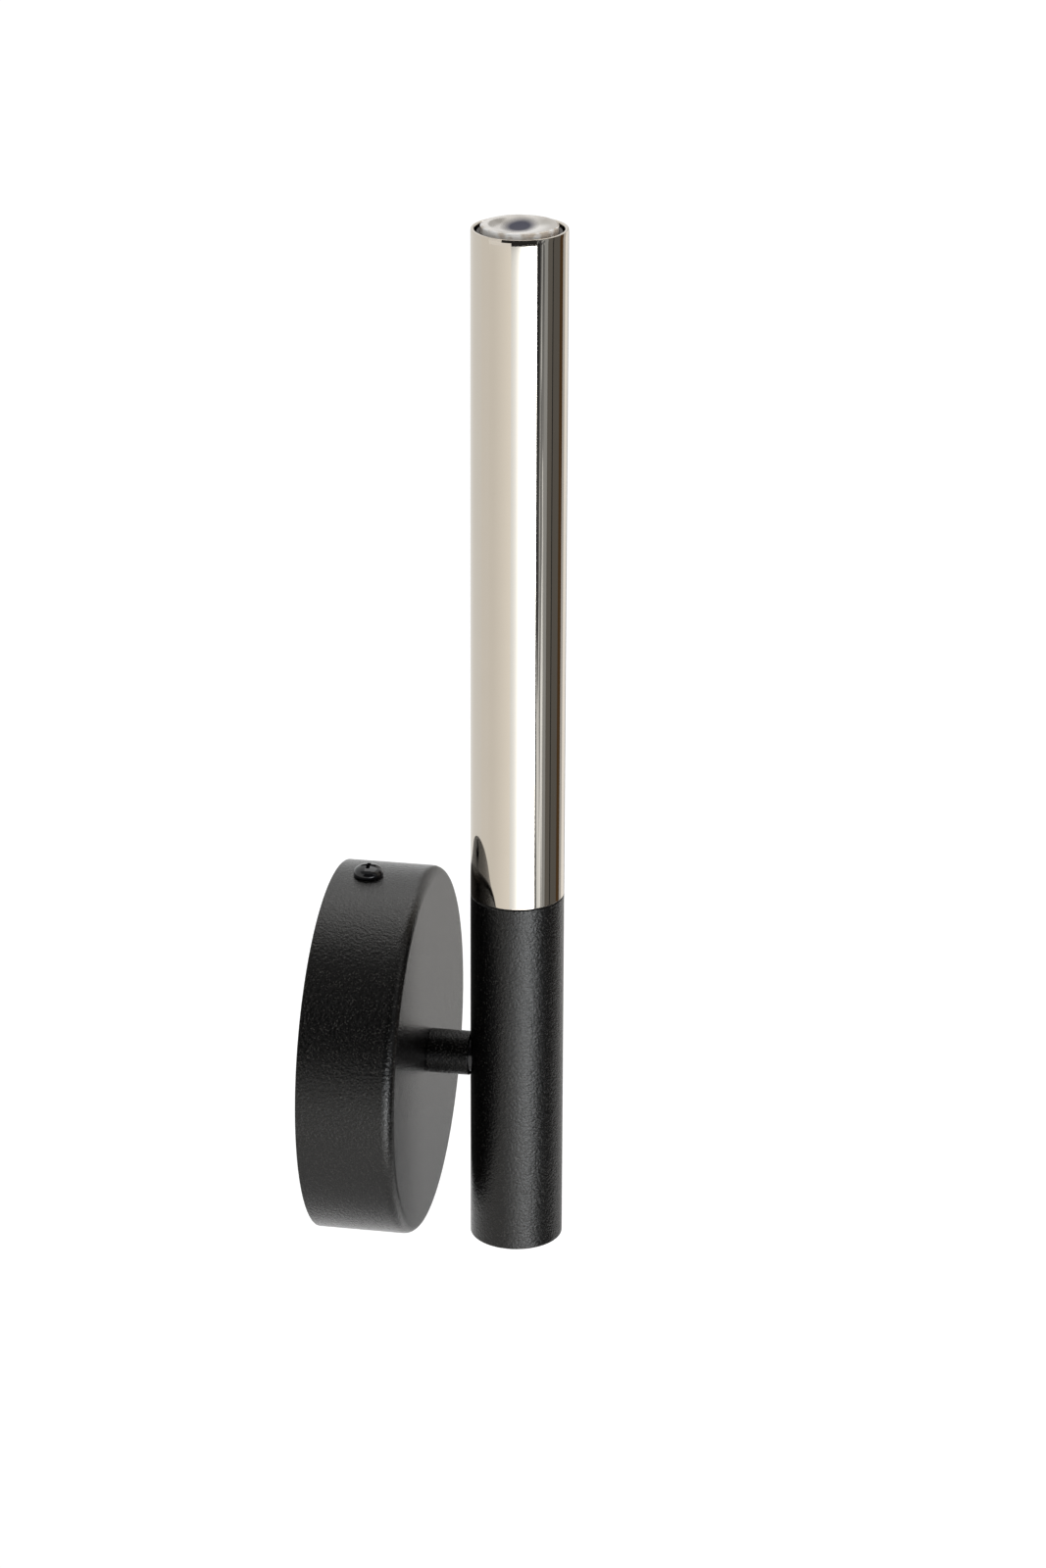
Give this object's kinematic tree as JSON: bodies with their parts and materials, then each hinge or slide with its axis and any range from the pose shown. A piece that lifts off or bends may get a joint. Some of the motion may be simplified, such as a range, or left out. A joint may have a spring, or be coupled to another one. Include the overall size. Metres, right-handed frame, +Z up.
{
  "type": "tube wall light",
  "caption": "Wall light with a round canopy and a short arm carrying an upright slim tube, lens at its top; the tube swivels on the arm.",
  "frame": {"origin": "wall plane on the axis of the arm, in the middle of the two wall slots", "axes": "+Z up along the tube, +Y into the wall, -Y out into the room, +X to the right of a viewer who faces the wall"},
  "size_m": [0.1, 0.0625, 0.284],
  "materials": {
    "canopy_paint": "fine textured black powder coat on pressed steel",
    "tube_paint": "fine textured black powder coat",
    "arm_paint": "fine textured black powder coat",
    "polished_plating": "mirror-polished nickel-chrome plating on steel tube",
    "black_screws": "glossy black plated steel",
    "plated_steel": "zinc-plated steel",
    "steel_screws": "zinc-plated steel",
    "brass_fittings": "plain brass",
    "brass_screws": "plain brass",
    "turned_aluminium": "turned aluminium",
    "black_aluminium": "black anodised aluminium",
    "white_nylon": "moulded white nylon",
    "nylon_washer": "natural nylon",
    "driver_plastic": "moulded white plastic",
    "holder_plastic": "moulded black plastic",
    "board_laminate": "green circuit board",
    "transformer_tape": "yellow wound tape",
    "capacitor_sleeve": "shrunk plastic sleeve",
    "white_board": "white solder mask on aluminium",
    "emitter_dome": "dark chip under a clear silicone dome, unlit",
    "grey_film": "heat-conducting film",
    "foam_tape": "double-sided foam tape",
    "cable_sheath": "black two-core round cable",
    "thin_sheath": "red and black silicone leads",
    "mains_sheath": "single-core mains leads",
    "earth_sheath": "green and yellow earth lead",
    "clear_lens": "clear moulded acrylic"
  },
  "bodies": {
    "wall_unit": {"canopy_cup": "canopy_paint", "canopy_screws": "black_screws", "stop_pin": "plated_steel", "wall_bracket": "plated_steel", "earth_screw": "brass_screws", "earth_washer": "plated_steel", "earth_lug": "brass_fittings", "earth_lead": "earth_sheath", "terminal_block": "white_nylon", "terminal_clamps": "brass_fittings", "terminal_screws": "steel_screws", "terminal_block_screw": "steel_screws", "driver_pad": "foam_tape", "driver_lid": "driver_plastic", "driver_case": "driver_plastic", "driver_board": "board_laminate", "driver_transformer": "transformer_tape", "driver_capacitors": "capacitor_sleeve", "mains_leads": "mains_sheath", "led_cable_fixed": "cable_sheath"},
    "swivel_lamp": {"arm_sleeve": "arm_paint", "threaded_nipple": "black_screws", "nipple_nuts": "plated_steel", "stop_washer": "plated_steel", "friction_washer": "nylon_washer", "cable_bush": "nylon_washer", "tube_anchor": "turned_aluminium", "lower_tube": "tube_paint", "bottom_plug": "tube_paint", "joint_sleeve": "black_aluminium", "set_screws": "black_screws", "upper_tube": "polished_plating", "led_cable_turning": "cable_sheath", "led_leads": "thin_sheath", "heat_sink": "turned_aluminium", "thermal_pad": "grey_film", "led_board": "white_board", "led_emitter": "emitter_dome", "board_screws": "steel_screws", "lens_holder": "holder_plastic", "lens": "clear_lens"}
  },
  "joints": [
    {"name": "tube_swivel", "type": "hinge", "parent": "wall_unit", "child": "swivel_lamp", "pos_m": [0, -0.026, 0], "axis": [0, -1, 0], "range_deg": [-165, 165]}
  ]
}
